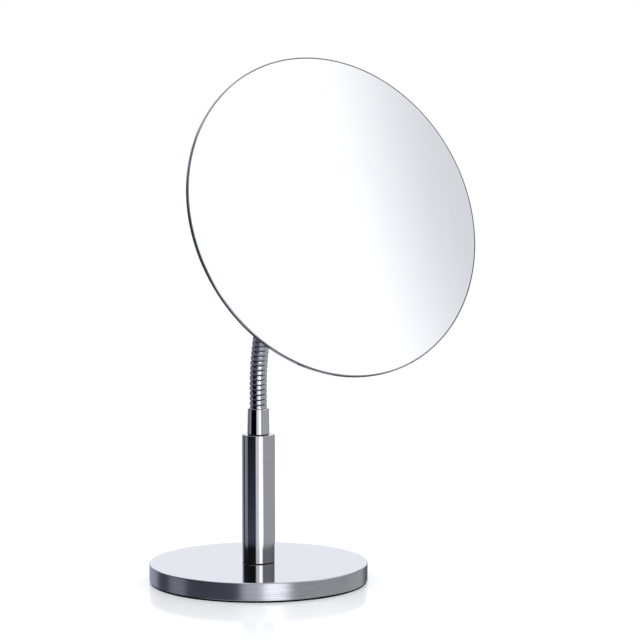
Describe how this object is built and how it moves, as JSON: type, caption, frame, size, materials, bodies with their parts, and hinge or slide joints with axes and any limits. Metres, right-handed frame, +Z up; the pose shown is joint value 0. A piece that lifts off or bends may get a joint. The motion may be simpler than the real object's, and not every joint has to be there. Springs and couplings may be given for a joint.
{
  "type": "shaving mirror",
  "caption": "Round magnifying shaving mirror on a bendable gooseneck arm, rising from a short steel column on a weighted round base.",
  "frame": {"origin": "middle of the base's underside, on the surface that it stands on", "axes": "+Z up along the column, -Y the way that the mirror faces, +X to the right of someone who stands behind the mirror"},
  "size_m": [0.2, 0.1959, 0.3334],
  "materials": {
    "brushed_cover": "stainless steel, turned and brushed round its axis",
    "polished_column": "stainless steel, finely polished",
    "gooseneck_wire": "bright drawn steel wire",
    "mirror_pan": "spun stainless steel, satin",
    "mirror_face": "silvered magnifying glass",
    "ballast": "cast and painted",
    "foot_pad": "black foam rubber",
    "zinc_fixings": "zinc plated",
    "adhesive_foam": "white adhesive foam"
  },
  "bodies": {
    "base": {"base_cover": "brushed_cover", "base_weight": "ballast", "base_pad": "foot_pad", "base_nut": "zinc_fixings", "base_washer": "zinc_fixings", "column_sleeve": "polished_column", "column_centring_ring": "zinc_fixings", "column_tie_rod": "zinc_fixings", "neck_lower_ferrule": "polished_column", "neck_winding_01": "gooseneck_wire", "neck_core_01": "zinc_fixings"},
    "section_02": {"neck_winding_02": "gooseneck_wire", "neck_core_02": "zinc_fixings"},
    "section_03": {"neck_winding_03": "gooseneck_wire", "neck_core_03": "zinc_fixings"},
    "section_04": {"neck_winding_04": "gooseneck_wire", "neck_core_04": "zinc_fixings"},
    "section_05": {"neck_winding_05": "gooseneck_wire", "neck_core_05": "zinc_fixings"},
    "section_06": {"neck_winding_06": "gooseneck_wire", "neck_core_06": "zinc_fixings"},
    "section_07": {"neck_winding_07": "gooseneck_wire", "neck_core_07": "zinc_fixings"},
    "section_08": {"neck_winding_08": "gooseneck_wire", "neck_core_08": "zinc_fixings"},
    "section_09": {"neck_winding_09": "gooseneck_wire", "neck_core_09": "zinc_fixings"},
    "section_10": {"neck_winding_10": "gooseneck_wire", "neck_core_10": "zinc_fixings"},
    "section_11": {"neck_winding_11": "gooseneck_wire", "neck_core_11": "zinc_fixings"},
    "section_12": {"neck_winding_12": "gooseneck_wire", "neck_core_12": "zinc_fixings"},
    "section_13": {"neck_winding_13": "gooseneck_wire", "neck_core_13": "zinc_fixings"},
    "section_14": {"neck_winding_14": "gooseneck_wire", "neck_core_14": "zinc_fixings"},
    "section_15": {"neck_winding_15": "gooseneck_wire", "neck_core_15": "zinc_fixings"},
    "section_16": {"neck_winding_16": "gooseneck_wire", "neck_core_16": "zinc_fixings"},
    "head": {"neck_winding_17": "gooseneck_wire", "neck_upper_ferrule": "polished_column", "mirror_back_pan": "mirror_pan", "mirror_glass": "mirror_face", "mirror_foam_ring": "adhesive_foam", "mirror_screw": "zinc_fixings", "mirror_washer": "zinc_fixings"}
  },
  "joints": [
    {"name": "neck_bend_01", "type": "hinge", "parent": "base", "child": "section_02", "pos_m": [0, 0, 0.11428], "axis": [1, 0, 0], "range_deg": [-6.5, 4.8]},
    {"name": "neck_bend_02", "type": "hinge", "parent": "section_02", "child": "section_03", "pos_m": [0, 0, 0.124], "axis": [1, 0, 0], "range_deg": [-6.5, 4.8]},
    {"name": "neck_sway_03", "type": "hinge", "parent": "section_03", "child": "section_04", "pos_m": [0, -0.00032, 0.13371], "axis": [0, 0.9974, 0.0726], "range_deg": [-6, 6]},
    {"name": "neck_bend_04", "type": "hinge", "parent": "section_04", "child": "section_05", "pos_m": [0, -0.00141, 0.14336], "axis": [1, 0, 0], "range_deg": [-6.5, 4.8]},
    {"name": "neck_bend_05", "type": "hinge", "parent": "section_05", "child": "section_06", "pos_m": [0, -0.00329, 0.1529], "axis": [1, 0, 0], "range_deg": [-6.5, 4.8]},
    {"name": "neck_sway_06", "type": "hinge", "parent": "section_06", "child": "section_07", "pos_m": [0, -0.00593, 0.16225], "axis": [0, 0.9506, 0.3104], "range_deg": [-6, 6]},
    {"name": "neck_bend_07", "type": "hinge", "parent": "section_07", "child": "section_08", "pos_m": [0, -0.00932, 0.17136], "axis": [1, 0, 0], "range_deg": [-6.5, 4.8]},
    {"name": "neck_bend_08", "type": "hinge", "parent": "section_08", "child": "section_09", "pos_m": [0, -0.01343, 0.18016], "axis": [1, 0, 0], "range_deg": [-6.5, 4.8]},
    {"name": "neck_sway_09", "type": "hinge", "parent": "section_09", "child": "section_10", "pos_m": [0, -0.01825, 0.1886], "axis": [0, 0.8465, 0.5324], "range_deg": [-6, 6]},
    {"name": "neck_bend_10", "type": "hinge", "parent": "section_10", "child": "section_11", "pos_m": [0, -0.0238, 0.19658], "axis": [1, 0, 0], "range_deg": [-6.5, 4.8]},
    {"name": "neck_bend_11", "type": "hinge", "parent": "section_11", "child": "section_12", "pos_m": [0, -0.03007, 0.204], "axis": [1, 0, 0], "range_deg": [-6.5, 4.8]},
    {"name": "neck_sway_12", "type": "hinge", "parent": "section_12", "child": "section_13", "pos_m": [0, -0.03701, 0.2108], "axis": [0, 0.6657, 0.7462], "range_deg": [-6, 6]},
    {"name": "neck_bend_13", "type": "hinge", "parent": "section_13", "child": "section_14", "pos_m": [0, -0.04455, 0.21692], "axis": [1, 0, 0], "range_deg": [-6.5, 4.8]},
    {"name": "neck_bend_14", "type": "hinge", "parent": "section_14", "child": "section_15", "pos_m": [0, -0.05264, 0.22231], "axis": [1, 0, 0], "range_deg": [-6.5, 4.8]},
    {"name": "neck_sway_15", "type": "hinge", "parent": "section_15", "child": "section_16", "pos_m": [0, -0.06119, 0.22692], "axis": [0, 0.4328, 0.9015], "range_deg": [-6, 6]},
    {"name": "neck_bend_16", "type": "hinge", "parent": "section_16", "child": "head", "pos_m": [0, -0.07014, 0.23071], "axis": [1, 0, 0], "range_deg": [-6.5, 4.8]}
  ]
}
